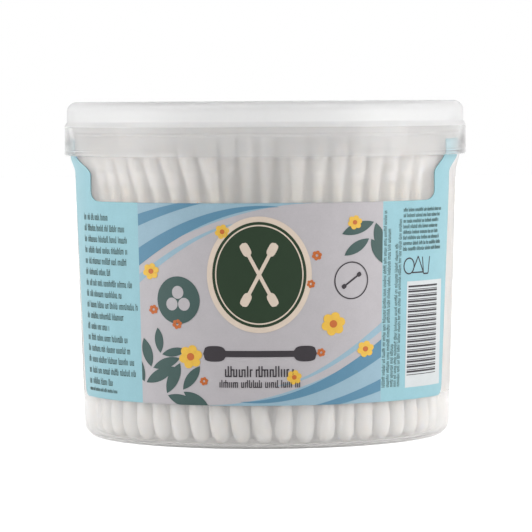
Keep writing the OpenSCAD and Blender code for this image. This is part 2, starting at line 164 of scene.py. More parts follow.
class LabelSizes(PropertyGroup):
    film: length("Film", "Thickness of the label film", 0.2)
    layer: length("Layer", "Step from one layer of print to the next", 0.02)
    low: length("Lower edge", "Height of the label's lower edge", 10.8)
    window: length("Window", "Height of the window's lower edge", 59.9)
    left: turn("Left edge", "Angle of the label's left edge at its foot, from its middle", -73.5)
    left_high: turn("Left edge high", "Angle of the label's left edge at the window", -79.0)
    right: turn("Right edge", "Angle of the label's right edge at its foot, from its middle", 70.5)
    right_high: turn("Right edge high", "Angle of the label's right edge at the window", 73.0)
    ear_left: turn("Left ear", "Angle of the left ear's outer edge on the rim", -84.0)
    ear_right: turn("Right ear", "Angle of the right ear's outer edge on the rim", 79.0)
    panel: turn("Front panel", "Half angle of the white front panel", 38.3)
    window_foot: turn("Window foot", "Half angle of the window at its foot", 62.0)
    window_left: turn("Window left", "Angle of the window's left edge on the rim", -71.4)
    window_right: turn("Window right", "Angle of the window's right edge on the rim", 66.0)
    window_round: length("Window corner", "Radius of the window's lower corners", 2.3)
    ear_drop: length("Ear drop", "How far the ears end below the rim's top", 3.7)
    corner: length("Corner", "Radius of the label's corners", 2.5)
    medal_width: length("Medallion half width", "Half width of the middle medallion", 11.4)
    medal_height: length("Medallion half height", "Half height of the middle medallion", 12.8)
    medal_z: length("Medallion middle", "Height of the medallion's middle", 42.6)
    medal_border: length("Medallion border", "Width of the medallion's cream border", 1.3)
    seal: length("Seal", "Radius of the green seal", 5.8)
    seal_angle: turn("Seal angle", "Angle of the seal from the label's middle", -24.7)
    seal_z: length("Seal middle", "Height of the seal's middle", 36.3)
    badge: length("Badge", "Radius of the ring badge", 4.6)
    badge_angle: turn("Badge angle", "Angle of the ring badge from the label's middle", 27.7)
    badge_z: length("Badge middle", "Height of the badge's middle", 40.9)
    badge_line: length("Badge line", "Width of the ring badge's line", 0.3)
    title_z: length("Drawn bud", "Height of the drawn bud under the medallion", 23.4)
    title_long: length("Drawn bud length", "Length of the drawn bud", 27.6)
    title_wide: length("Drawn bud width", "Thickness of the drawn bud's tips", 3.8)
    code_angle: turn("Bar code angle", "Angle of the bar code from the label's middle", 58.2)
    code_width: length("Bar code width", "Width of the bar code's white field", 16.2)
    code_height: length("Bar code height", "Height of the bar code's white field", 26.2)
    code_z: length("Bar code place", "Height of the white field's lower edge", 13.8)
    code_bars: IntProperty(name="Bars", description="Number of bars in the bar code", default=36)
    flower: length("Flower", "Radius of a flower", 3.1)
    leaf: length("Leaf", "Length of a leaf", 8.2)


class Colours(PropertyGroup):
    plastic: tint("Tub plastic", "Tint of the tub's plastic", 252, 250, 248)
    lid: tint("Lid plastic", "Colour of the milky lid", 252, 252, 252)
    side: tint("Label sides", "Pale blue of the label's sides", 137, 177, 186)
    # The front panel's white is written as a grey, darker than the white ink really is: painted shade for the
    # weaker light that falls on the label's front
    panel: tint("Front panel", "White of the front panel", 171, 167, 170)
    field: tint("Bar code field", "White of the bar code's field", 192, 196, 197)
    light_wave: tint("Light waves", "Light blue of the waves", 138, 165, 179)
    dark_wave: tint("Dark waves", "Mid blue of the waves", 84, 126, 150)
    teal: tint("Leaves", "Dark teal of the leaves and the seal", 58, 80, 77)
    petal: tint("Petals", "Yellow of the flowers", 214, 172, 70)
    heart: tint("Hearts", "Orange of the flowers' hearts", 180, 98, 50)
    cream: tint("Cream", "Cream of the medallion's border", 202, 187, 172)
    green: tint("Medallion", "Dark green of the medallion", 30, 48, 30)
    ink: tint("Ink", "Black of the print", 50, 46, 50)
    cotton: tint("Cotton", "White of the cotton", 252, 250, 248)
    stick: tint("Sticks", "White of the paper sticks", 250, 236, 223)
    floor: tint("Floor", "Pale colour of the floor", 238, 238, 238)


class StageSizes(PropertyGroup):
    distance: length("Distance", "Distance of the camera from the tub's axis", 875)
    height: length("Height", "Height of the camera", 84.05)
    azimuth: turn("Azimuth", "Turn of the camera off the label's middle", 2.0)
    pitch: turn("Pitch", "How far the camera looks down", 2.7215)
    roll: turn("Roll", "Roll of the camera", -0.344)
    lens: FloatProperty(
        name="Lens", description="Focal length on a 36 mm sensor", default=232.28, subtype="DISTANCE_CAMERA"
    )
    left_power: power("Left lamp", "Power of the tall lamp at the left", 6)
    right_power: power("Right lamp", "Power of the tall lamp at the right", 7)
    front_power: power("Front lamp", "Power of the lamp over the camera", 1)
    world: FloatProperty(name="World", description="Strength of the world's even light", default=0.4)
    glow: FloatProperty(name="Floor glow", description="Light that the seen floor gives off", default=0.68)
    floor: length("Floor", "Half width of the floor", 3000)


class BudTub(PropertyGroup):
    tub: PointerProperty(type=TubSizes)
    lid: PointerProperty(type=LidSizes)
    buds: PointerProperty(type=BudSizes)
    label: PointerProperty(type=LabelSizes)
    colours: PointerProperty(type=Colours)
    stage: PointerProperty(type=StageSizes)


def settings():
    return bpy.context.scene.bud_tub


def tub_heights(t):
    """Heights of the rim's foot and of the shoulder's foot, counted down from the tub's top."""
    rim = TUB_HIGH[2] - t.rim_height
    return rim, rim - t.shoulder_height


def shoulder_share(z):
    """The share of the shoulder's step that is done at the heights z: an S curve, u * u * (3 - 2 u)."""
    t = settings().tub
    u = np.clip((z - tub_heights(t)[1]) / t.shoulder_height, 0, 1)
    return u * u * (3 - 2 * u)


def wall_radius(z):
    """Outer radius of the tub at the heights z: a straight draft up to the shoulder, which then steps out to
    the rim."""
    t = settings().tub
    shoulder = tub_heights(t)[1]
    z = np.asarray(z, float)
    straight = t.base_radius + t.draft * (z - t.corner) / (shoulder - t.corner)
    return np.where(z < shoulder, straight, t.base_radius + t.draft + t.shoulder_out * shoulder_share(z))


def arc(radius_at, z, radius, start, end, steps):
    """Points of an arc in the (radius, height) plane about (radius_at, z), angles in degrees."""
    a = np.radians(np.linspace(start, end, steps + 1))
    return np.column_stack([radius_at + radius * np.cos(a), z + radius * np.sin(a)])


def placed(name, data):
    """A new object of the scene for a mesh, a lamp or a camera."""
    piece = bpy.data.objects.new(name, data)
    bpy.context.scene.collection.objects.link(piece)
    return piece


def make_object(name, points, faces, material, body, replaced=(), smooth_angle=None):
    """Makes a mesh piece at the origin, gives it its material and the slot of that, and lets it ride on its
    body."""
    mesh = bpy.data.meshes.new(name)
    mesh.from_pydata(np.asarray(points, float), [], [tuple(f) for f in faces])
    mesh.validate()
    mesh.materials.append(material)
    piece = placed(name, mesh)
    if smooth_angle is None:
        mesh.polygons.foreach_set("use_smooth", np.ones(len(mesh.polygons), bool))
    else:
        mesh.set_sharp_from_angle(angle=math.radians(smooth_angle))
    mesh.update()
    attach(piece, body)
    if replaced:
        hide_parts(*replaced)
    return piece


def ring_quads(rings, around):
    """The faces between rings of points that follow one another, with around points each."""
    j = np.arange(around)
    k = (j + 1) % around
    i = np.arange(rings - 1)[:, None] * around
    return np.stack([i + j, i + k, i + around + k, i + around + j], -1).reshape(-1, 4)


def revolved(profile, angles):
    """Points and faces of a closed profile turned round the axis. The profile is a list of (radius, height)
    from the lower pole outwards and round to the upper pole; each ring point is (r cos a, r sin a, z)."""
    ring = profile[1:-1]
    n, m = len(ring), len(angles)
    points = np.empty((n * m + 2, 3))
    points[: n * m, 0] = np.outer(ring[:, 0], np.cos(angles)).ravel()
    points[: n * m, 1] = np.outer(ring[:, 0], np.sin(angles)).ravel()
    points[: n * m, 2] = np.repeat(ring[:, 1], m)
    points[n * m] = (0, 0, profile[0, 1])
    points[n * m + 1] = (0, 0, profile[-1, 1])
    j = np.arange(m)
    k = (j + 1) % m
    low = np.column_stack([np.full(m, n * m), k, j])
    high = np.column_stack([np.full(m, n * m + 1), (n - 1) * m + j, (n - 1) * m + k])
    return points, ring_quads(n, m).tolist() + low.tolist() + high.tolist()


def slab(outer, inner, kept=None, wrap=False):
    """Points and faces of a closed thin slab between two grids of points of shape (rows, columns, 3).
    kept says which cells of the grid are there; wrap joins the last column to the first one.
    Every side of a kept cell that has no kept neighbour gets a face across the thickness."""
    rows, columns = outer.shape[:2]
    cells = columns if wrap else columns - 1
    if kept is None:
        kept = np.ones((rows - 1, cells), bool)
    index = np.arange(rows * columns).reshape(rows, columns)
    if wrap:
        index = np.hstack([index, index[:, :1]])
    a, b = index[:-1, :-1], index[:-1, 1:]
    c, d = index[1:, 1:], index[1:, :-1]
    offset = rows * columns
    front = np.stack([a, b, c, d], -1)[kept]
    back = np.stack([a, d, c, b], -1)[kept] + offset
    faces = [front, back]
    around = np.pad(kept, 1)
    if wrap:
        around[1:-1, 0] = kept[:, -1]
        around[1:-1, -1] = kept[:, 0]
    middle = around[1:-1, 1:-1]
    for first, second, neighbour in (
        (a, b, around[:-2, 1:-1]),
        (b, c, around[1:-1, 2:]),
        (c, d, around[2:, 1:-1]),
        (d, a, around[1:-1, :-2]),
    ):
        open_side = middle & ~neighbour
        p, q = first[open_side], second[open_side]
        faces.append(np.stack([q, p, p + offset, q + offset], -1))
    points = np.concatenate([outer.reshape(-1, 3), inner.reshape(-1, 3)])
    return points, np.concatenate(faces)


def joined(parts):
    """One point array and one face list from several."""
    points, faces, start = [], [], 0
    for p, f in parts:
        points.append(np.asarray(p))
        faces.extend((np.asarray(f) + start).tolist())
        start += len(p)
    return np.concatenate(points), faces


def rotated(x, y, angle):
    """Flat coordinates turned about zero: x cos a - y sin a and x sin a + y cos a."""
    c, s = math.cos(angle), math.sin(angle)
    return x * c - y * s, x * s + y * c


def thrown(x, z, lift, angle=0.0):
    """Points where flat coordinates x, z land on the wall when they are thrown at it from the angle off the
    label's middle: y = -sqrt(r * r - x * x) with r the film's outer radius plus lift, then turned."""
    r = wall_radius(z) + settings().label.film + lift
    y = -np.sqrt(np.maximum(r * r - x * x, 0))
    return np.stack([*rotated(x, y, angle), z], -1)


def wrapped(s, z, lift, angle=0.0):
    """Points where the arc length s from the angle lands on the wall: the angle grows by s / r."""
    r = wall_radius(z) + settings().label.film + lift
    a = angle + s / wall_radius(settings().label.medal_z)
    return np.stack([r * np.sin(a), -r * np.cos(a), np.broadcast_to(z, r.shape)], -1)


def patch(x, z, level, angle=0.0, wrap=False, onto=thrown, kept=None):
    """A thin closed patch of print on the wall over the grid x, z, the given number of layers up. The lowest
    fifth of its own layer stays empty."""
    layer = settings().label.layer
    x, z = np.broadcast_arrays(x, z)
    outer, inner = (onto(x, z, (level + share) * layer, angle) for share in (1, 0.2))
    return slab(outer, inner, kept, wrap)


def disc(x, z, width, height, level, angle=0.0, hole=0.0, rings=10, around=72):
    """A patch in the form of an oval, or of a ring where hole is its inner share: (w cos a, h sin a)."""
    share = np.linspace(hole, 1, rings + 1)[:, None]
    a = np.linspace(0, -2 * np.pi, around, endpoint=False)[None, :]
    return patch(x + width * share * np.cos(a), z + height * share * np.sin(a), level, angle, wrap=True)


def dots(x, z, out, r, bearings, level, angle=0.0, rings=3, around=20):
    """Round patches of the radius r on a circle of the radius out about x, z, one at each bearing."""
    return [
        disc(x + out * math.cos(a), z + out * math.sin(a), r, r, level, angle, rings=rings, around=around)
        for a in bearings
    ]


def stroke(start, end, wide, level, angle=0.0):
    """A straight line of print: start + (end - start) u, moved to both sides by half its width."""
    u = np.linspace(0, 1, 9)[None, :]
    side = np.array([[-1.0], [1.0]])
    across, up = end[0] - start[0], end[1] - start[1]
    half = wide / 2 / math.hypot(across, up)
    x = start[0] + across * u - up * half * side
    z = start[1] + up * u + across * half * side
    return patch(x, z, level, angle)


def block(x0, x1, z0, z1, level, angle=0.0, onto=thrown):
    """A rectangular patch, cut into columns and rows so that it follows the wall."""
    column, row = 1.2 * MM, 4.8 * MM
    columns = max(1, math.ceil(abs(x1 - x0) / column))
    rows = max(1, math.ceil(abs(z1 - z0) / row))
    x, z = np.meshgrid(np.linspace(x0, x1, columns + 1), np.linspace(z0, z1, rows + 1))
    return patch(x, z, level, angle, onto=onto)


def drawn_bud(x, z, long, wide, tilt, level, angle=0.0):
    """A drawn bud about x, z. Its half width along the axis is that of a thin stick, and near both ends that
    of a blunt tip: w * (1 - d ** 3) ** (1 / 3), with w the tip's half width and d the distance from its
    middle in its half lengths."""
    u = np.linspace(-0.5, 0.5, 61)
    tip, stick = 0.1, 0.2 * wide
    from_middle = np.abs(u)
    d = np.clip(np.abs(from_middle - (0.5 - tip)) / tip, 0, 1)
    half = np.maximum(wide / 2 * (1 - d ** 3) ** (1 / 3), np.where(from_middle < 0.5 - tip, stick, 0))
    v = np.linspace(-1, 1, 5)[:, None]
    right, up = rotated(u[None, :] * long, v * half[None, :], tilt)
    return patch(x + right, z + up, level, angle)


def feed(tree, socket, value):
    """Links a socket to the output that is given, or sets it to a plain value."""
    if isinstance(value, bpy.types.NodeSocket):
        tree.links.new(value, socket)
    else:
        socket.default_value = value


def add_node(tree, kind, **inputs):
    """A new node with the named inputs fed. In a name, _ stands for a space."""
    node = tree.nodes.new(kind)
    for name, value in inputs.items():
        feed(tree, node.inputs[name.replace("_", " ")], value)
    return node


def calculate(tree, operation, *values):
    """The output of a new Math node over the given numbers or outputs."""
    node = tree.nodes.new("ShaderNodeMath")
    node.operation = operation
    for socket, value in zip(node.inputs, values):
        feed(tree, socket, value)
    return node.outputs[0]


def new_material(slot, colour, roughness, name="finish", **sockets):
    """A material with one Principled shader and its plain sockets set. It keeps the name of the record's slot
    that it is for."""
    material = bpy.data.materials.new(f"{slot}_{name}")
    material["slot"] = slot
    material.use_nodes = True
    shader = material.node_tree.nodes["Principled BSDF"]
    for socket, value in {"Base_Color": (*colour, 1), "Roughness": roughness, **sockets}.items():
        shader.inputs[socket.replace("_", " ")].default_value = value
    return material, shader


def grain_group():
    """Shader group: fine and coarse noise over a vector, as a value round 1 and as a height."""
    group = bpy.data.node_groups.get("moulded_grain")
    if group:
        return group
    group = bpy.data.node_groups.new("moulded_grain", "ShaderNodeTree")
    group.interface.new_socket("Vector", in_out="INPUT", socket_type="NodeSocketVector")
    for name in ("Fine", "Coarse", "Strength"):
        group.interface.new_socket(name, in_out="INPUT", socket_type="NodeSocketFloat")
    for name in ("Value", "Height"):
        group.interface.new_socket(name, in_out="OUTPUT", socket_type="NodeSocketFloat")
    given = group.nodes.new("NodeGroupInput").outputs
    noises = []
    for scale in ("Fine", "Coarse"):
        noise = add_node(group, "ShaderNodeTexNoise", Vector=given["Vector"], Scale=given[scale], Detail=3)
        noises.append(noise.outputs["Fac"])
    height = calculate(group, "ADD", *noises)
    centred = calculate(group, "SUBTRACT", height, 1)
    value = calculate(group, "MULTIPLY_ADD", centred, given["Strength"], 1)
    add_node(group, "NodeGroupOutput", Value=value, Height=height)
    return group


def add_grain(material, shader, fine, coarse, strength, bump=0):
    """Places the grain group in a material. It varies the colour and lifts the surface by bump."""
    tree = material.node_tree
    place = tree.nodes.new("ShaderNodeTexCoord").outputs["Object"]
    grain = tree.nodes.new("ShaderNodeGroup")
    grain.node_tree = grain_group()
    for socket, value in (("Vector", place), ("Fine", fine), ("Coarse", coarse), ("Strength", strength)):
        feed(tree, grain.inputs[socket], value)
    colour = tree.nodes.new("ShaderNodeVectorMath")
    colour.operation = "SCALE"
    colour.inputs[0].default_value = shader.inputs["Base Color"].default_value[:3]
    feed(tree, colour.inputs["Scale"], grain.outputs["Value"])
    feed(tree, shader.inputs["Base Color"], colour.outputs[0])
    if bump:
        lifted = add_node(tree, "ShaderNodeBump", Strength=1, Distance=bump, Height=grain.outputs["Height"])
        feed(tree, shader.inputs["Normal"], lifted.outputs[0])


def plastic(slot, name, colour, roughness, clear):
    """Thin polypropylene: it lets the share clear of the light through and blurs what lies behind it."""
    material, shader = new_material(slot, colour, roughness, name, Transmission_Weight=clear, IOR=1.2)
    add_grain(material, shader, fine=900, coarse=60, strength=0.04)
    return material, shader


def wall_plastic():
    """The tub's plastic with a slight frost. It is clearer at the base than behind and above the label."""
    wall_frost, base_frost = 0.4, 0.16
    material, shader = plastic("clear_plastic", "finish", settings().colours.plastic, wall_frost, clear=0.76)
    tree = material.node_tree
    place = tree.nodes.new("ShaderNodeTexCoord").outputs["Object"]
    height = add_node(tree, "ShaderNodeSeparateXYZ", Vector=place).outputs["Z"]
    frost = add_node(tree, "ShaderNodeMapRange", Value=height, From_Min=9 * MM, From_Max=14 * MM,
                     To_Min=base_frost, To_Max=wall_frost)
    feed(tree, shader.inputs["Roughness"], frost.outputs["Result"])
    return material


def thicker(piece, material, low, high):
    """Gives the faces of a piece between two heights the milkier look of thicker plastic."""
    piece.data.materials.append(material)
    middle = np.empty(len(piece.data.polygons) * 3)
    piece.data.polygons.foreach_get("center", middle)
    thick = (middle[2::3] > low) & (middle[2::3] < high)
    piece.data.polygons.foreach_set("material_index", thick.astype(np.int32))


def print_material(slot, colour, name="finish"):
    """Ink under the film's satin surface, with the faint mottle of print."""
    material, shader = new_material(slot, colour, 0.42, name, Specular_IOR_Level=0.2)
    add_grain(material, shader, fine=2600, coarse=300, strength=0.12)
    return material


def ink(slot):
    """The print of one of the label's slots, made where it is first used."""
    made = bpy.data.materials.get(f"{slot}_finish")
    return made or print_material(slot, getattr(settings().colours, INKS[slot]))


def cotton_material():
    """Wound cotton: fine fibres that run round the tip, and a soft nap."""
    material, shader = new_material(
        "cotton", settings().colours.cotton, 0.95, Sheen_Weight=0.35, Sheen_Roughness=0.6,
        Subsurface_Weight=1.0, Subsurface_Radius=(0.0025, 0.0023, 0.0021), Subsurface_Scale=1.0
    )
    tree = material.node_tree
    place = tree.nodes.new("ShaderNodeUVMap")
    place.uv_map = "winding"
    slope = (0, 0, math.radians(7))
    wound = add_node(tree, "ShaderNodeMapping", Vector=place.outputs["UV"], Scale=(3, 26, 1), Rotation=slope)
    fibres = add_node(tree, "ShaderNodeTexNoise", Vector=wound.outputs[0], Scale=3, Detail=4)
    lifted = add_node(tree, "ShaderNodeBump", Strength=0.6, Distance=0.2 * MM, Height=fibres.outputs["Fac"])
    feed(tree, shader.inputs["Normal"], lifted.outputs[0])
    return material


def stick_material():
    """Rolled white paper with its faint grain."""
    material, shader = new_material(
        "stick_paper", settings().colours.stick, 0.6,
        Subsurface_Weight=1.0, Subsurface_Radius=(0.003, 0.0026, 0.0022), Subsurface_Scale=1.0
    )
    add_grain(material, shader, fine=1500, coarse=200, strength=0.05, bump=0.03 * MM)
    return material


def ring_angles(around, at, extra):
    """Even angles round the circle, with some more, extra, about the angle at."""
    even = np.linspace(0, 2 * np.pi, around, endpoint=False)
    return np.unique(np.round(np.mod(np.concatenate([even, at + extra]), 2 * np.pi), 7))


class BUDTUB_OT_tub(Operator):
    """Turn the tub's profile round its axis and add its fine moulding line"""

    bl_idname = "bud_tub.tub"
    bl_label = "Tub"

    def execute(self, context):
        t = settings().tub
        rim, shoulder = tub_heights(t)
        top = TUB_HIGH[2]
        foot = t.base_radius - t.corner
        foot_in = foot - t.foot_width
        foot_edge = t.foot_rise / 2
        foot_slope = 0.9 * MM
        floor_top = t.foot_rise + t.floor
        inner_corner = t.corner - t.wall
        lip = t.wall / 2
        bead_round, bead_middle, bead_foot = 0.35 * MM, top - 2.2 * MM, top - 2.9 * MM
        rise = np.concatenate([
            np.linspace(t.corner + 0.5 * MM, shoulder, 14)[:-1],
            np.linspace(shoulder, rim, 13),
            [bead_foot],
        ])
        outside = np.concatenate([
            [[0, t.foot_rise], [foot_in - foot_slope, t.foot_rise]],
            arc(foot_in, foot_edge, foot_edge, 180, 270, 4),
            arc(foot, t.corner, t.corner, -90, 0, 12),
            np.column_stack([wall_radius(rise), rise]),
            arc(wall_radius(top) - bead_round, bead_middle, t.bead_out + bead_round, -55, 55, 6),
            arc(wall_radius(top) - lip, top - lip, lip, 0, 180, 10),
        ])
        fall = rise[:-1][::-1]
        inside = np.concatenate([
            np.column_stack([wall_radius(fall) - t.wall, fall])[:-1],
            arc(foot, floor_top + inner_corner, inner_corner, 0, -90, 10),
            [[0, floor_top]],
        ])
        at = t.witness_angle - math.pi / 2
        half_width = 0.28 * MM / t.base_radius
        angles = ring_angles(288, at, np.linspace(-2.5, 2.5, 17) * half_width)
        points, faces = revolved(np.concatenate([outside, inside]), angles)
        self.add_moulding_line(points, t, at, half_width, foot_in)
        piece = make_object("tub_shell", points, faces, wall_plastic(), TUB_BODY, ["tub"], smooth_angle=40)
        foot_ring, _ = plastic("clear_plastic", "thick_finish", settings().colours.plastic, 0.3, clear=0.5)
        thicker(piece, foot_ring, -MM, floor_top - 0.1 * MM)
        return {"FINISHED"}

    def add_moulding_line(self, points, t, at, half_width, foot_in):
        """Swells the outer points near the angle at by the line's height times exp(-d * d), with d the angle
        in half widths. The line fades out between the heights 6 and 9 mm."""
        line_top, fade, line_foot = 9 * MM, 3 * MM, 0.2 * MM
        height = points[:, 2]
        bearing = np.arctan2(points[:, 1], points[:, 0])
        radius = np.hypot(points[:, 0], points[:, 1])
        d = np.angle(np.exp(1j * (bearing - at))) / half_width
        outer = (radius > foot_in) & (radius > wall_radius(height) - t.wall / 2)
        share = np.clip((line_top - height) / fade, 0, 1) * (height > line_foot)
        swell = 1 + outer * share * t.witness_out * np.exp(-d * d) / np.maximum(radius, MM)
        points[:, :2] *= swell[:, None]


class BUDTUB_OT_lid(Operator):
    """Turn the lid's profile round its axis. The thicker band and top are milkier than the skirt"""

    bl_idname = "bud_tub.lid"
    bl_label = "Lid"

    def execute(self, context):
        lid = settings().lid
        low, high, seat = LID_LOW[2], LID_HIGH[2], TUB_HIGH[2]
        outer = LID_HIGH[0]
        inner = outer - lid.skirt
        band = outer - lid.band_in
        band_inner = band - lid.band
        under = high - lid.top
        edge_in = lid.edge - MM
        lip_in, lip_out = 0.25 * MM, 0.3 * MM
        step_low, step_round, step_past, step_slope = seat - 0.2 * MM, 0.5 * MM, 0.1 * MM, 27
        step_high = step_low + lid.step
        bead, bead_round, bead_in = low + 1.2 * MM, 0.5 * MM, 0.15 * MM
        flat_r = np.linspace(band - lid.edge, 2 * MM, 12)[1:]
        outside = np.concatenate([
            arc(inner + lip_in, low + lip_in, lip_in, 180, 270, 3),
            arc(outer - lip_out, low + lip_out, lip_out, -90, 0, 4),
            [[outer, (low + step_low) / 2]],
            arc(outer - step_round, step_low - step_past, step_round, 0, step_slope, 3),
            arc(band + step_round, step_high + step_past, step_round, 180 + step_slope, 180, 3),
            arc(band - lid.edge, high - lid.edge, lid.edge, 0, 90, 12),
            np.column_stack([flat_r, np.full(len(flat_r), high)]),
            [[0, high]],
        ])
        inside = np.concatenate([
            [[0, under]],
            arc(band_inner - edge_in, under - edge_in, edge_in, 90, 0, 8),
            [[band_inner, seat], [inner, seat]],
            arc(inner + bead_round - bead_in, bead, bead_round, 135, 225, 5),
        ])
        profile = np.concatenate([inside, outside])
        points, faces = revolved(profile, np.linspace(0, 2 * np.pi, 288, endpoint=False))
        colour = settings().colours.lid
        skirt, _ = plastic("milky_plastic", "finish", colour, 0.1, clear=0.9)
        piece = make_object("snap_lid", points, faces, skirt, LID_BODY, ["lid"], smooth_angle=40)
        band_and_top, _ = plastic("milky_plastic", "thick_finish", colour, 0.3, clear=0.68)
        thicker(piece, band_and_top, step_low - 0.3 * MM, high + MM)
        return {"FINISHED"}


class BUDTUB_OT_label(Operator):
    """Wrap the label film and its fields of print onto the wall"""

    bl_idname = "bud_tub.label"
    bl_label = "Label"

    def execute(self, context):
        lab = settings().label
        self.film(lab)
        self.front_panel(lab)
        self.waves()
        self.leaves(lab)
        self.flowers(lab)
        self.medallion(lab)
        self.badges(lab)
        self.words()
        self.bar_code(lab)
        self.signs()
        return {"FINISHED"}

    def film(self, lab):
        """The film as one grid of heights and angles. Its outline is flat as seen from the front, so an angle
        is the arc sine of x / r. Beside the window only the outer columns stay."""
        t = settings().tub
        rim, shoulder = tub_heights(t)
        rim_radius = t.base_radius + t.draft + t.shoulder_out
        ear_top = TUB_HIGH[2] - lab.ear_drop
        r, round_r = lab.corner, lab.window_round
        quarter = 1 - np.cos(np.radians(np.linspace(0, 90, 7)))
        z = np.unique(np.round(np.concatenate([
            lab.low + r * quarter,
            np.linspace(lab.low + r, lab.window, 16),
            lab.window + round_r * quarter,
            np.linspace(lab.window + round_r, shoulder, 3),
            np.linspace(shoulder, rim, 9),
            np.linspace(rim, ear_top - r, 3),
            ear_top - r * quarter,
        ]), 7))
        radius = wall_radius(z) + lab.film
        rise = shoulder_share(z)

        def edge(low_angle, rim_angle, below_shoulder, less):
            """Angles of an edge that keeps low_angle up to the shoulder, or its x where below_shoulder is one
            radius, and leans over to rim_angle on the rim. less is cut off the width at each height."""
            low_x = below_shoulder * np.sin(low_angle)
            rim_x = (rim_radius + lab.film) * math.sin(rim_angle)
            x = low_x + (rim_x - low_x) * rise
            return np.arcsin((x - np.sign(low_angle) * less) / radius)

        from_edge = np.minimum(z - lab.low, ear_top - z)
        inset = r - np.sqrt(np.maximum(r * r - np.maximum(r - from_edge, 0) ** 2, 0))
        straight = wall_radius(np.minimum(z, shoulder)) + lab.film
        up = np.clip((z - lab.low) / (lab.window - lab.low), 0, 1)
        left_low = lab.left + (lab.left_high - lab.left) * up
        right_low = lab.right + (lab.right_high - lab.right) * up
        left = edge(left_low, lab.ear_left, straight, 0) + inset / radius
        right = edge(right_low, lab.ear_right, straight, 0) - inset / radius
        below_round = np.clip(lab.window + round_r - z, 0, round_r)
        corner_in = round_r - np.sqrt(np.maximum(round_r ** 2 - below_round ** 2, 0))
        foot = wall_radius(lab.window) + lab.film
        window_left = np.maximum(edge(-lab.window_foot, lab.window_left, foot, corner_in), left)
        window_right = np.minimum(edge(lab.window_foot, lab.window_right, foot, corner_in), right)
        ear_steps, middle_steps, hair = 12, 120, 0.01 * MM
        share = np.linspace(0, 1, ear_steps + 1)
        middle_share = np.linspace(0, 1, middle_steps + 1)[1:-1]
        angles = np.hstack([
            left[:, None] + (window_left - left)[:, None] * share,
            window_left[:, None] + (window_right - window_left)[:, None] * middle_share,
            window_right[:, None] + (right - window_right)[:, None] * share,
        ])
        kept = np.ones((len(z) - 1, angles.shape[1] - 1), bool)
        kept[z[:-1] >= lab.window - hair, ear_steps:-ear_steps] = False
        height = np.repeat(z[:, None], angles.shape[1], 1)
        sides = []
        for lift in (lab.film, 2 * hair):
            r = wall_radius(height) + lift
            sides.append(np.stack([r * np.sin(angles), -r * np.cos(angles), height], -1))
        points, faces = slab(*sides, kept)
        self.piece("label_film", [(points, faces)], ink("label_blue"), "label_film")

    def piece(self, name, parts, material, *replaced):
        """Makes one piece of the label from several closed parts."""
        points, faces = joined(parts)
        make_object(name, points, faces, material, TUB_BODY, replaced, smooth_angle=50)

    def front_panel(self, lab):
        """The pale field between the blue sides, as arc length across and height up."""
        s = np.linspace(-lab.panel, lab.panel, 83) * wall_radius(lab.medal_z)
        z = np.linspace(lab.low, lab.window, 14)[:, None]
        panel = patch(s[None, :], z, 0, onto=wrapped)
        # The panel's colour holds painted shade: its white ink is darkened for the weaker light on the
        # label's front
        self.piece("front_panel", [panel], ink("label_white"), "label_front_panel")

    def place(self, u, v):
        """Flat x and z of a place on the panel, u half widths across and v heights up."""
        lab = settings().label
        half_width = (wall_radius(lab.medal_z) + lab.film) * math.sin(lab.panel)
        return u * half_width, lab.low + v * (lab.window - lab.low)

    def band(self, shape, level, turned):
        """A band under the rising curve v = v0 + (v1 - v0) u ** bend. It starts at the panel's foot and ends
        at its side. A turned one is the same half way round the panel's middle."""
        u0, u1, v0, v1, bend, w0, w1 = shape
        first = max(0.0, -v0 / (v1 - v0)) ** (1 / bend)
        u = np.linspace(first, (1 - u0) / (u1 - u0), 64)[None, :]
        top = v0 + (v1 - v0) * u ** bend
        low = np.maximum(top - (w0 * (1 - u) + w1 * u), 0)
        x, z = self.place(u0 + (u1 - u0) * u, low + (top - low) * np.linspace(0, 1, 9)[:, None])
        if turned:
            lab = settings().label
            x, z = -x, lab.low + lab.window - z
        return patch(x * wall_radius(z) / wall_radius(settings().label.medal_z), z, level)

    def waves(self):
        """The light and the dark bands, each also half way round the panel's middle."""
        for name, shapes, slot, level in (
            ("light", LIGHT_WAVES, "ink_light_blue", 1), ("dark", DARK_WAVES, "ink_mid_blue", 2)
        ):
            bands = [self.band(shape, level, turned) for turned in (False, True) for shape in shapes]
            self.piece(f"{name}_waves", bands, ink(slot), f"print_{name}_waves")

    def leaf(self, foot, turned, long, level):
        """A leaf from its foot along the direction turned, between two arcs of radius r: its half width is
        sqrt(r r - (s - l / 2) ** 2) less the arcs' depth at its ends. It is cut off at the panel's edge."""
        r, start = 0.82 * long, 0.4 * MM
        u = np.linspace(0, 1, 13)[None, :]
        depth = math.sqrt(r * r - long * long / 4)
        half = np.sqrt(np.maximum(r * r - (long * (u - 0.5)) ** 2, 0)) - depth
        right, up = rotated(start + long * u, half * np.linspace(-1, 1, 5)[:, None], turned)
        x, z = foot[0] + right, foot[1] + up
        lab = settings().label
        side = (wall_radius(z) + lab.film) * math.sin(lab.panel)
        inside = (np.abs(x) < side) & (z > lab.low) & (z < lab.window)
        kept = inside[1:, 1:] | inside[1:, :-1] | inside[:-1, 1:] | inside[:-1, :-1]
        return patch(np.clip(x, -side, side), np.clip(z, lab.low, lab.window), level, kept=kept)

    def leaves(self, lab):
        """Sprigs of paired leaves that get shorter towards the end, along stems that bend a little at each
        pair."""
        spread, spacing, shrink = 42, 0.5, 0.12
        parts = []
        for u, v, a, pairs, bend in SPRIGS:
            x, z = self.place(u, v)
            for i in range(pairs):
                on = math.radians(a + bend * i / 2)
                step = lab.leaf * spacing * (i + 0.5)
                foot = (x + step * math.cos(on), z + step * math.sin(on))
                long = lab.leaf * (1 - shrink * i)
                for side in (-spread, spread):
                    parts.append(self.leaf(foot, math.radians(a + bend * i + side), long, 3))
        self.piece("leaf_sprigs", parts, ink("ink_teal"), "print_leaves")

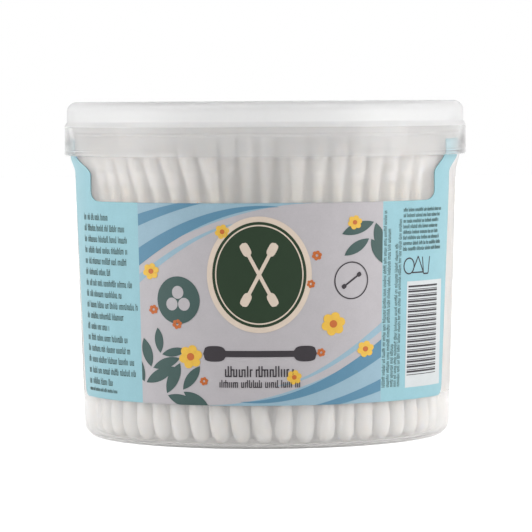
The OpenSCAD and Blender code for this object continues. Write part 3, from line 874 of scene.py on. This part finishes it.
    def blossom(self, x, z, r, level):
        """Six round petals, each 0.36 r, on a circle of 0.58 r."""
        return dots(x, z, 0.58 * r, 0.36 * r, np.radians(60 * (np.arange(6) + 0.25)), level)

    def flowers(self, lab):
        """Large yellow flowers with an orange heart, and small orange ones."""
        petals, hearts = [], []
        for u, v, size in FLOWERS:
            x, z = self.place(u, v)
            r = lab.flower * size
            petals += self.blossom(x, z, r, 4)
            hearts.append(disc(x, z, 0.3 * r, 0.3 * r, 5, rings=3, around=20))
        for u, v, size in BLOSSOMS:
            hearts += self.blossom(*self.place(u, v), lab.flower * size, 4)
        self.piece("flower_petals", petals, ink("ink_yellow"), "print_flower_petals")
        self.piece("flower_hearts", hearts, ink("ink_orange"), "print_flower_hearts")

    def medallion(self, lab):
        """An oval with a cream border, and on it two crossed buds inside a fine oval line."""
        w, h, z, b = lab.medal_width, lab.medal_height, lab.medal_z, lab.medal_border
        cream = ink("ink_cream")
        border = disc(0, z, w + b, h + b, 4, rings=20, around=120)
        self.piece("medallion_border", [border], cream, "print_medallion_border")
        middle = disc(0, z, w, h, 5, rings=20, around=120)
        self.piece("medallion", [middle], ink("ink_green"), "print_medallion")
        long, wide, line_in = 1.35 * h, 2.2 * MM, 0.7 * MM
        crossed = [
            drawn_bud(0, z, long, wide, math.radians(tilt), level) for tilt, level in ((62, 6), (118, 7))
        ]
        line = disc(0, z, w - line_in, h - line_in, 6, hole=0.972, rings=1, around=120)
        self.piece("medallion_bud", [*crossed, line], cream, "print_medallion_bud")

    def badges(self, lab):
        """The seal with its three round bolls, the ring badge with a small bud, and the drawn title bud."""
        z, at = lab.seal_z, lab.seal_angle
        self.piece("seal", [disc(0, z, lab.seal, lab.seal, 4, at)], ink("ink_teal"), "print_seal")
        out, boll = 0.33 * lab.seal, 0.27 * lab.seal
        bolls = dots(0, z, out, boll, np.radians([90, 210, 330]), 5, at, rings=4, around=32)
        # The seal's bolls share the front panel's white ink, and with it that ink's painted shade
        self.piece("seal_boll", bolls, ink("label_white"), "print_seal_boll")
        r, z, at = lab.badge, lab.badge_z, lab.badge_angle
        ring = disc(0, z, r, r, 4, at, hole=1 - lab.badge_line / r, rings=1)
        bud = drawn_bud(0, z, 1.35 * r, 1.1 * MM, math.radians(35), 4, at)
        self.piece("ring_badge", [ring, bud], ink("ink_black"), "print_ring_badge")
        title = drawn_bud(0, lab.title_z, lab.title_long, lab.title_wide, 0, 4)
        self.piece("title_bud", [title], ink("ink_black"), "print_title_bud")

    def word_row(self, rng, start, end, base, tall, angle=0.0, level=1, upright=False):
        """One line of small print: groups of thin strokes from start to end, some of them joined at the top
        or the foot, which form no letters. An upright row runs up the wall."""
        thin, step, space, long_stroke = 0.17 * tall, 0.36 * tall, 0.4 * tall, 1.4 * tall
        parts, s = [], start

        def mark(s0, s1, z0, z1):
            sides = (base - z1, base - z0, s0, s1) if upright else (s0, s1, base + z0, base + z1)
            parts.append(block(*sides, level, angle, onto=wrapped))

        while s < end:
            for _ in range(int(rng.integers(4, 14))):
                if s + thin > end:
                    break
                mark(s, s + thin, 0, long_stroke if rng.random() < 0.22 else tall)
                if rng.random() < 0.6 and s + step + thin < end:
                    foot = 0 if rng.random() < 0.5 else tall - thin
                    mark(s + thin, s + step, foot, foot + thin)
                s += step
            s += space
        return parts

    def words(self):
        """The lines of small print: two under the drawn bud, a block on the left, and upright lines and a
        block on the right. Heights and lengths are in millimetres, angles in degrees."""
        rng = np.random.default_rng(5)
        front, sides = [], []
        for z, half, tall in ((17.8, 8.6, 1.9), (15.2, 10.0, 1.35)):
            front += self.word_row(rng, -half * MM, half * MM, z * MM, tall * MM, level=4)
        self.piece("front_words", front, ink("ink_black"))
        left, lines, first, pitch, tall = math.radians(-68), 16, 55.2, 2.73, 1.2 * MM
        for i in range(lines):
            z = (first - pitch * i) * MM
            long = rng.uniform(17.5, 24) * MM if i % 5 else rng.uniform(12, 15) * MM
            sides += self.word_row(rng, 0, 1.7 * MM, z, tall, left)
            sides += self.word_row(rng, 2.6 * MM, long, z, tall, left)
        sides += self.word_row(rng, 0, 15.2 * MM, 12.5 * MM, 0.7 * MM, left)
        for angle, top in ((39.8, 57.7), (41.4, 53.5), (42.9, 25.0), (44.3, 49.5), (45.7, 55.7)):
            sides += self.word_row(rng, 14.3 * MM, top * MM, 0, 0.75 * MM, math.radians(angle), upright=True)
        right, lines, first, pitch, tall = math.radians(46.4), 8, 57.2, 1.37, 0.7 * MM
        for i in range(lines):
            long = rng.uniform(14.5, 17) * MM
            sides += self.word_row(rng, 0, long, (first - pitch * i) * MM, tall, right)
        self.piece("side_words", sides, ink("ink_teal"))

    def signs(self):
        """Three plain outline signs over the bar code: a ring, a triangle and a cup. The corners are in
        shares of the ring's radius, the angles in degrees."""
        line, z, r = 0.35 * MM, 43.8 * MM, 2.1 * MM
        signs = [disc(0, z, r, r, 1, math.radians(49.2), hole=1 - line / r, rings=1, around=40)]
        for shape, degrees, closed in (
            (((-1.1, -0.8), (1.1, -0.8), (0, 1.1)), 53.4, True),
            (((-0.8, 1.0), (-0.5, -1.0), (0.5, -1.0), (0.8, 1.0)), 57.6, False),
        ):
            corners = [(r * x, z + r * y) for x, y in shape]
            ends = corners[1:] + corners[:1] if closed else corners[1:]
            signs += [stroke(a, b, line, 1, math.radians(degrees)) for a, b in zip(corners, ends)]
        self.piece("label_signs", signs, ink("ink_black"))

    def bar_code(self, lab):
        """A white field with a plain row of lying bars, thin and thick by turns."""
        low, w, h, at = lab.code_z, lab.code_width, lab.code_height, lab.code_angle
        field = block(-w / 2, w / 2, low, low + h, 0, at)
        white = print_material("label_white", settings().colours.field, "field_finish")
        self.piece("code_field", [field], white, "print_code_field")
        left, right, under, over = 0.5 * MM, 2.6 * MM, 3.0 * MM, 0.9 * MM
        pitch = (h - under - over) / lab.code_bars
        bars = []
        for i in range(lab.code_bars):
            thick = pitch * (0.75 if i % 2 else 0.3)
            z = low + under + pitch * i
            bars.append(block(left - w / 2, w / 2 - right, z, z + thick, 1, at))
        self.piece("code_bars", bars, ink("ink_black"), "print_code_bars")


def bud_places(b, t):
    """Foot points, axes and group of every bud. The lower ends stand evenly round rings; the upper ends on
    wider rings, turned, and opened like a fan at one place of each ring."""
    belly_z = t.foot_rise + t.floor + b.floor_gap + b.belly
    span = b.long - 2 * b.belly
    low_r = wall_radius(belly_z) - t.wall - b.fit / 2 - b.gap
    high_r = wall_radius(belly_z + span - b.belly) - t.wall - b.fit / 2 - b.gap
    innermost = 2.6 * MM
    rings = int((low_r - innermost) / b.ring_step) + 1
    feet, axes, groups = [], [], []
    for i in range(rings):
        r0 = low_r - i * b.ring_step
        r1 = r0 * high_r / low_r
        n = int(math.pi / math.asin((b.wall_pitch if i == 0 else b.pitch) / 2 / r0) + 1e-9)
        share = (np.arange(n) + 0.5) / n - 0.5
        front = b.fan_front + b.fan_turn * i
        spread = b.fan if i == 0 else b.inner_fan
        a0 = front + math.pi + 2 * math.pi * share
        a1 = front + math.pi + (2 * math.pi - spread) * share - b.twist * math.cos(b.fan_turn * i)
        foot = r0 * np.column_stack([np.cos(a0), np.sin(a0)])
        lean = (r1 * np.column_stack([np.cos(a1), np.sin(a1)]) - foot) / span
        axis = np.column_stack([lean, np.sqrt(1 - (lean ** 2).sum(1))])
        base = np.column_stack([foot, np.full(n, belly_z)]) - axis * b.belly
        feet.append(base)
        axes.append(axis)
        groups.append(np.full(n, int(i * BUD_GROUPS / rings)))
    return np.concatenate(feet), np.concatenate(axes), np.concatenate(groups)


def bud_frames(axes):
    """For each axis the two directions square to it, by cross products."""
    side = np.cross(np.broadcast_to([0.0, 1.0, 0.0], axes.shape), axes)
    side /= np.linalg.norm(side, axis=1)[:, None]
    return side, np.cross(axes, side)


def tip_profile(b, steps):
    """(distance from the end, radius) along a tip: a blunt oval end up to the belly, then one cosine
    slope down to the neck."""
    first = max(3, steps // 2)
    a = np.linspace(0, np.pi / 2, first + 1)[1:]
    end = np.column_stack([b.belly * (1 - np.cos(a)), b.tip / 2 * np.sin(a) ** 0.8])
    u = np.linspace(0, 1, steps - first + 1)[1:]
    slope = b.neck / 2 + (b.tip - b.neck) / 2 * (0.5 + 0.5 * np.cos(np.pi * u ** 1.15))
    return np.concatenate([end, np.column_stack([b.belly + (b.tip_long - b.belly) * u, slope])])


def tips_mesh(b, feet, axes, rng, around, steps):
    """Both tips of the given buds as one set of points: rings of points about each bud's axis, with small
    lumps round the ring, and a point at the end. The uv map runs round the tip and along it."""
    profile = tip_profile(b, steps)
    n = len(profile)
    phi = np.linspace(0, 2 * np.pi, around, endpoint=False)
    c, s = np.cos(phi)[None, None, :, None], np.sin(phi)[None, None, :, None]
    side, other = bud_frames(axes)
    parts = []
    count = len(feet)
    for far in (0, 1):
        start = feet + far * axes * b.long
        along = axes * (1 - 2 * far)
        turned = other * (1 - 2 * far)
        size = rng.uniform(0.97, 1.02, count)[:, None, None]
        lump = rng.uniform(0, 2 * np.pi, (count, 2))
        wave = (1 + 0.018 * np.sin(2 * phi + lump[:, :1]) + 0.014 * np.sin(3 * phi + lump[:, 1:]))[:, None, :]
        ripple = 1 + 0.02 * np.sin(profile[:, 0] / b.tip_long * 9 + lump[:, :1])[:, :, None]
        r = (profile[None, :, 1, None] * size * wave * ripple)[..., None]
        centre = start[:, None, None, :] + along[:, None, None, :] * profile[None, :, 0, None, None]
        ring = centre + r * (c * side[:, None, None, :] + s * turned[:, None, None, :])
        parts.append(np.concatenate([start[:, None, :], ring.reshape(count, -1, 3)], 1))
    points = np.concatenate(parts)
    per = 1 + n * around
    j = np.arange(around)
    cap = np.column_stack([np.zeros(around, int), (j + 1) % around + 1, j + 1])
    base = np.arange(2 * count)[:, None, None] * per
    quads = ring_quads(n, around) + 1 + base
    faces = quads.reshape(-1, 4).tolist() + (cap + base).reshape(-1, 3).tolist()
    u = np.concatenate([[0.5], np.tile(j / around, n)])
    v = np.concatenate([[0], np.repeat(profile[:, 0] / b.tip_long, around)])
    shift = np.repeat(rng.uniform(0, 9, (2 * count, 2)), per, 0)
    return points.reshape(-1, 3), faces, np.tile(np.column_stack([u, v]), (2 * count, 1)) + shift


def sticks_mesh(b, feet, axes, around):
    """The bare sticks as round bars that end inside the cotton."""
    phi = np.linspace(0, 2 * np.pi, around, endpoint=False)
    c, s = np.cos(phi)[None, :, None], np.sin(phi)[None, :, None]
    side, other = bud_frames(axes)
    hidden = 3 * MM
    ring = b.stick / 2 * (c * side[:, None, :] + s * other[:, None, :])
    low = (feet + axes * hidden)[:, None, :] + ring
    high = (feet + axes * (b.long - hidden))[:, None, :] + ring
    points = np.concatenate([low, high], 1).reshape(-1, 3)
    j = np.arange(around)
    base = np.arange(len(feet))[:, None, None] * 2 * around
    quads = (ring_quads(2, around) + base).reshape(-1, 4)
    low_caps = j[::-1][None, :] + base[:, :, 0]
    high_caps = j[None, :] + around + base[:, :, 0]
    return points, quads.tolist() + low_caps.tolist() + high_caps.tolist()


class BUDTUB_OT_buds(Operator):
    """Stand the cotton buds in their rings"""

    bl_idname = "bud_tub.buds"
    bl_label = "Cotton buds"

    def execute(self, context):
        b = settings().buds
        rng = np.random.default_rng(b.seed)
        feet, axes, groups = bud_places(b, settings().tub)
        cotton, paper = cotton_material(), stick_material()
        for g in range(BUD_GROUPS):
            mine = groups == g
            # The buds at the wall have more faces than those behind them
            around, steps = (12, 6) if g == 0 else (8, 5)
            points, faces, uv = tips_mesh(b, feet[mine], axes[mine], rng, around, steps)
            tips = make_object(f"cotton_tips_{g + 1}", points, faces, cotton, TUB_BODY, [f"bud_tips_{g + 1}"])
            layer = tips.data.uv_layers.new(name="winding")
            corner = np.empty(len(tips.data.loops), np.int32)
            tips.data.loops.foreach_get("vertex_index", corner)
            layer.data.foreach_set("uv", uv[corner].ravel())
            points, faces = sticks_mesh(b, feet[mine], axes[mine], around)
            make_object(f"paper_sticks_{g + 1}", points, faces, paper, TUB_BODY, [f"bud_sticks_{g + 1}"],
                        smooth_angle=40)
        return {"FINISHED"}


class BUDTUB_OT_stage(Operator):
    """Set up the floor, the lamps, the even light and the camera"""

    bl_idname = "bud_tub.stage"
    bl_label = "Stage"

    def execute(self, context):
        s = settings().stage
        self.floor(s)
        self.world(s)
        self.lamps(s)
        self.camera(s)
        bpy.context.scene.view_settings.view_transform = "Standard"
        return {"FINISHED"}

    def seen_mask(self, tree):
        """A mask that is 1 for what the camera sees, straight, in a mirror or through the plastic, and 0 for
        the light that reaches a surface."""
        path = tree.nodes.new("ShaderNodeLightPath").outputs
        seen = path["Is Camera Ray"]
        for other in ("Is Glossy Ray", "Is Transmission Ray"):
            seen = calculate(tree, "MAXIMUM", seen, path[other])
        unscattered = calculate(tree, "LESS_THAN", path["Diffuse Depth"], 0.5)
        return calculate(tree, "MULTIPLY", seen, unscattered)

    def floor(self, s):
        """A pale floor that looks white where the camera sees it, apart from the tub's shadow."""
        half = s.floor
        points = [(-half, -half, 0), (half, -half, 0), (half, half, 0), (-half, half, 0)]
        mesh = bpy.data.meshes.new("floor")
        mesh.from_pydata(points, [], [(0, 1, 2, 3)])
        placed("floor", mesh)
        white = (1, 1, 1, 1)
        material, shader = new_material("floor_white", settings().colours.floor, 0.9, Emission_Color=white)
        mesh.materials.append(material)
        tree = material.node_tree
        glow = calculate(tree, "MULTIPLY", self.seen_mask(tree), s.glow)
        feed(tree, shader.inputs["Emission Strength"], glow)

    def world(self, s):
        """Even light, which looks white where the camera sees it."""
        world = bpy.data.worlds.new("even_light")
        bpy.context.scene.world = world
        world.use_nodes = True
        tree = world.node_tree
        background = tree.nodes["Background"]
        background.inputs["Color"].default_value = (1, 1, 1, 1)
        strength = add_node(tree, "ShaderNodeMix", Factor=self.seen_mask(tree), A=s.world, B=1)
        feed(tree, background.inputs["Strength"], strength.outputs["Result"])

    def lamps(self, s):
        """Two tall soft lamps at the sides and a weaker one over the camera, all facing the tub's middle."""
        middle = Vector((0, 0, 0.045))
        for name, place, wide, high, watts in (
            ("left_lamp", (-0.75, -0.25, 0.3), 0.5, 0.8, s.left_power),
            ("right_lamp", (0.75, -0.25, 0.3), 0.5, 0.8, s.right_power),
            ("front_lamp", (0.0, -1.0, 0.75), 0.7, 0.4, s.front_power),
        ):
            lamp = bpy.data.lights.new(name, "AREA")
            lamp.shape = "RECTANGLE"
            lamp.size, lamp.size_y = wide, high
            lamp.energy = watts
            piece = placed(name, lamp)
            piece.location = place
            piece.rotation_euler = (middle - Vector(place)).to_track_quat("-Z", "Y").to_euler()

    def camera(self, s):
        data = bpy.data.cameras.new("camera")
        data.lens = s.lens
        data.sensor_width = 36
        data.clip_start, data.clip_end = 0.05, 20
        piece = placed("camera", data)
        place = (s.distance * math.sin(s.azimuth), -s.distance * math.cos(s.azimuth), s.height)
        piece.matrix_world = (
            Matrix.Translation(place)
            @ Matrix.Rotation(s.azimuth, 4, "Z")
            @ Matrix.Rotation(math.pi / 2 - s.pitch, 4, "X")
            @ Matrix.Rotation(s.roll, 4, "Z")
        )
        bpy.context.scene.camera = piece


class BUDTUB_PT_panel(Panel):
    """The buttons that build the tub's pieces and the stage"""

    bl_idname = "BUDTUB_PT_panel"
    bl_label = "Cotton bud tub"
    bl_space_type = "VIEW_3D"
    bl_region_type = "UI"
    bl_category = "Bud Tub"

    def draw(self, context):
        for operator in OPERATORS:
            self.layout.operator(operator.bl_idname)


OPERATORS = (BUDTUB_OT_tub, BUDTUB_OT_lid, BUDTUB_OT_label, BUDTUB_OT_buds, BUDTUB_OT_stage)
CLASSES = (TubSizes, LidSizes, BudSizes, LabelSizes, Colours, StageSizes, BudTub, *OPERATORS, BUDTUB_PT_panel)


def register():
    for cls in CLASSES:
        bpy.utils.register_class(cls)
    bpy.types.Scene.bud_tub = PointerProperty(type=BudTub)


def unregister():
    del bpy.types.Scene.bud_tub
    for cls in reversed(CLASSES):
        bpy.utils.unregister_class(cls)


def main():
    register()
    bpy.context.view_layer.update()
    bpy.ops.bud_tub.tub()
    bpy.ops.bud_tub.lid()
    bpy.ops.bud_tub.label()
    bpy.ops.bud_tub.buds()
    bpy.ops.bud_tub.stage()


if __name__ == "__main__":
    main()
